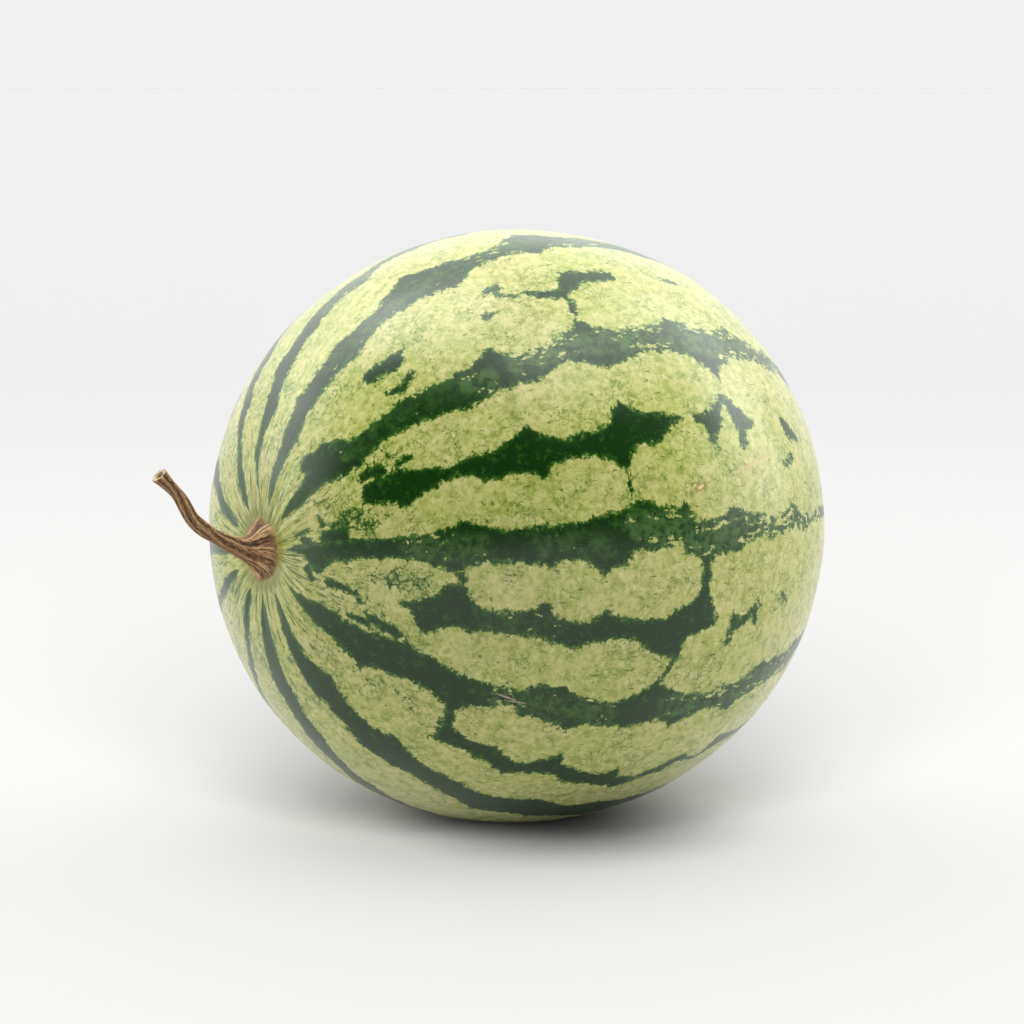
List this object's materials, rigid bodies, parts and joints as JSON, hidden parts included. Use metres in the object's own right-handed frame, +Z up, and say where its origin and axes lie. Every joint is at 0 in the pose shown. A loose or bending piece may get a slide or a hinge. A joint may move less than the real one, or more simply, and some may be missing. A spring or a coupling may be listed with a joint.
{
  "type": "watermelon",
  "caption": "Round-oval whole watermelon with dark green broken stripes on pale rind and a dried, curved stem; it rests on a small flat spot.",
  "frame": {"origin": "centre of the small flat spot the melon rests on", "axes": "+Z up; +X along the fruit's axis from the stem end to the blossom end; +Y completes a right-handed frame"},
  "size_m": [0.2938, 0.24, 0.2381],
  "materials": {
    "rind": "satin",
    "dry_stem": "matte"
  },
  "bodies": {
    "root": {"melon": "rind", "stem": "dry_stem"}
  },
  "joints": []
}
